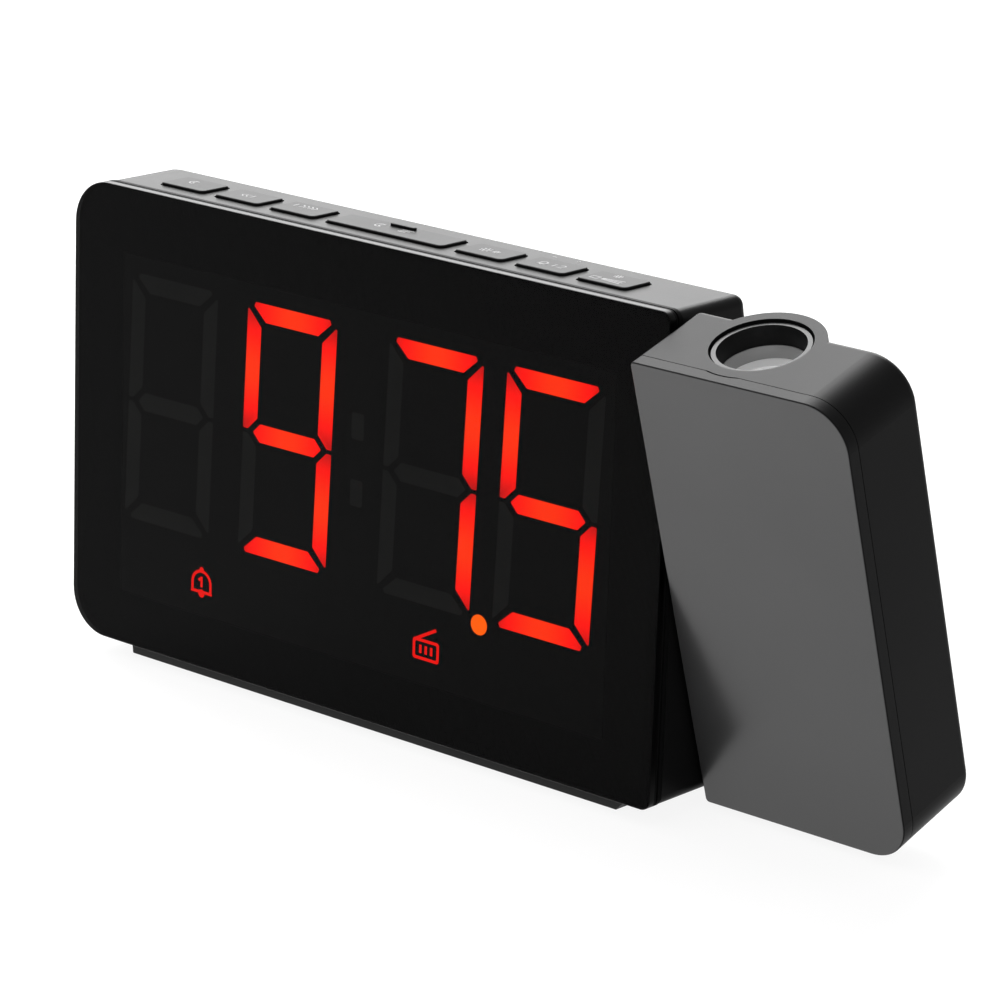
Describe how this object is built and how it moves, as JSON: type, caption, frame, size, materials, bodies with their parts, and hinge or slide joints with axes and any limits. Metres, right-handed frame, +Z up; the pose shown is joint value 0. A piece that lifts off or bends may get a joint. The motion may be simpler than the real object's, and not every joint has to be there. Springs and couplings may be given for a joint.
{
  "type": "projection alarm clock",
  "caption": "Wedge-bodied LED alarm clock with top keys and a side arm that turns to throw the time on a wall.",
  "frame": {"origin": "on the table, at the middle of the front foot's underside, below the middle of the front panel", "axes": "+X to the right seen from the front, +Y to the back, +Z up"},
  "size_m": [0.188, 0.0525, 0.0935],
  "materials": {
    "smoked_lens": "gloss smoked acrylic",
    "frame_plastic": "gloss black",
    "housing_plastic": "fine satin black",
    "foot_rubber": "matt",
    "screw_steel": "zinc plated",
    "circuit_board": "solder mask",
    "switch_plastic": "moulded",
    "display_plastic": "matt black",
    "lit_red": "lit diffuser",
    "unlit_smoke": "unlit diffuser",
    "lit_orange": "lit diffuser",
    "led_white": "moulded",
    "basket_steel": "pressed steel",
    "cone_paper": "pressed paper",
    "bush_rubber": "matt",
    "cell_steel": "stainless",
    "cover_plastic": "fine satin black",
    "pivot_acetal": "acetal",
    "shaft_plastic": "glass filled",
    "key_plastic": "fine satin black",
    "arm_plastic": "fine satin black",
    "arm_face_plastic": "fine satin black",
    "focus_plastic": "satin black",
    "retainer_plastic": "satin grey",
    "clear_lens": "polished",
    "slide_glass": "polished"
  },
  "bodies": {
    "clock_body": {"front_lens": "smoked_lens", "front_frame": "frame_plastic", "rear_housing": "housing_plastic", "front_foot": "foot_rubber", "rear_foot": "foot_rubber", "housing_screws": "screw_steel", "key_board": "circuit_board", "key_switches": "switch_plastic", "key_board_screws": "screw_steel", "display_body": "display_plastic", "lit_segments": "lit_red", "unlit_segments": "unlit_smoke", "point_segment": "lit_orange", "bell_window": "lit_red", "radio_window": "lit_red", "display_board": "circuit_board", "display_leds": "led_white", "main_board": "circuit_board", "board_headers": "switch_plastic", "main_chip": "switch_plastic", "speaker_basket": "basket_steel", "speaker_cone": "cone_paper", "speaker_magnet": "basket_steel", "dc_socket": "switch_plastic", "usb_socket": "basket_steel", "socket_board": "circuit_board", "aerial_bush": "bush_rubber", "backup_cell": "cell_steel", "cell_contact": "screw_steel", "pivot_bush": "pivot_acetal"},
    "projector_arm": {"arm_housing": "arm_plastic", "arm_front_cover": "arm_face_plastic", "arm_screws": "screw_steel", "friction_washer": "pivot_acetal", "pivot_shaft": "shaft_plastic", "spring_washer": "screw_steel", "pivot_retainer": "screw_steel", "slide_frame": "retainer_plastic", "projector_slide": "slide_glass", "condenser_lens": "clear_lens", "projector_board": "circuit_board", "projector_led": "led_white"},
    "focus_ring": {"focus_ring": "focus_plastic"},
    "lens_cell": {"lens_retainer": "retainer_plastic", "lens_cell": "retainer_plastic", "projection_lens": "clear_lens", "rear_lens": "clear_lens"},
    "battery_cover": {"battery_cover": "cover_plastic"},
    "sleep_key": {"sleep_key": "key_plastic"},
    "tune_down_key": {"tune_down_key": "key_plastic"},
    "tune_up_key": {"tune_up_key": "key_plastic"},
    "snooze_key": {"snooze_key": "key_plastic"},
    "dimmer_key": {"dimmer_key": "key_plastic"},
    "alarm_key": {"alarm_key": "key_plastic"},
    "projector_key": {"projector_key": "key_plastic"}
  },
  "joints": [
    {"name": "arm_pivot", "type": "hinge", "parent": "clock_body", "child": "projector_arm", "pos_m": [0.0726, 0.00735, 0.05085], "axis": [1, 0, 0], "range_deg": [-107.6, 72.4]},
    {"name": "focus_turn", "type": "hinge", "parent": "projector_arm", "child": "focus_ring", "pos_m": [0.09, -0.00563, 0.09011], "axis": [0, -0.3024, 0.9532], "range_deg": [-150, 150]},
    {"name": "lens_travel", "type": "slide", "parent": "projector_arm", "child": "lens_cell", "axis": [0, -0.3024, 0.9532], "range_m": [-0.0012, 0.0012]},
    {"name": "sleep_key_press", "type": "slide", "parent": "clock_body", "child": "sleep_key", "axis": [0, 0, -1], "range_m": [0, 0.0005], "stiffness_N_per_m": 600, "springref_m": -0.0008},
    {"name": "tune_down_key_press", "type": "slide", "parent": "clock_body", "child": "tune_down_key", "axis": [0, 0, -1], "range_m": [0, 0.0005], "stiffness_N_per_m": 600, "springref_m": -0.0008},
    {"name": "tune_up_key_press", "type": "slide", "parent": "clock_body", "child": "tune_up_key", "axis": [0, 0, -1], "range_m": [0, 0.0005], "stiffness_N_per_m": 600, "springref_m": -0.0008},
    {"name": "snooze_key_press", "type": "slide", "parent": "clock_body", "child": "snooze_key", "axis": [0, 0, -1], "range_m": [0, 0.0005], "stiffness_N_per_m": 600, "springref_m": -0.0008},
    {"name": "dimmer_key_press", "type": "slide", "parent": "clock_body", "child": "dimmer_key", "axis": [0, 0, -1], "range_m": [0, 0.0005], "stiffness_N_per_m": 600, "springref_m": -0.0008},
    {"name": "alarm_key_press", "type": "slide", "parent": "clock_body", "child": "alarm_key", "axis": [0, 0, -1], "range_m": [0, 0.0005], "stiffness_N_per_m": 600, "springref_m": -0.0008},
    {"name": "projector_key_press", "type": "slide", "parent": "clock_body", "child": "projector_key", "axis": [0, 0, -1], "range_m": [0, 0.0005], "stiffness_N_per_m": 600, "springref_m": -0.0008},
    {"name": "battery_cover_turn", "type": "hinge", "parent": "clock_body", "child": "battery_cover", "pos_m": [-0.035, 0.0144, 0.0033], "axis": [0, 0, 1], "range_deg": [0, 55]}
  ],
  "couplings": [
    {"joint": "focus_turn", "follows": "lens_travel", "rad_per_m": 2181.7}
  ]
}
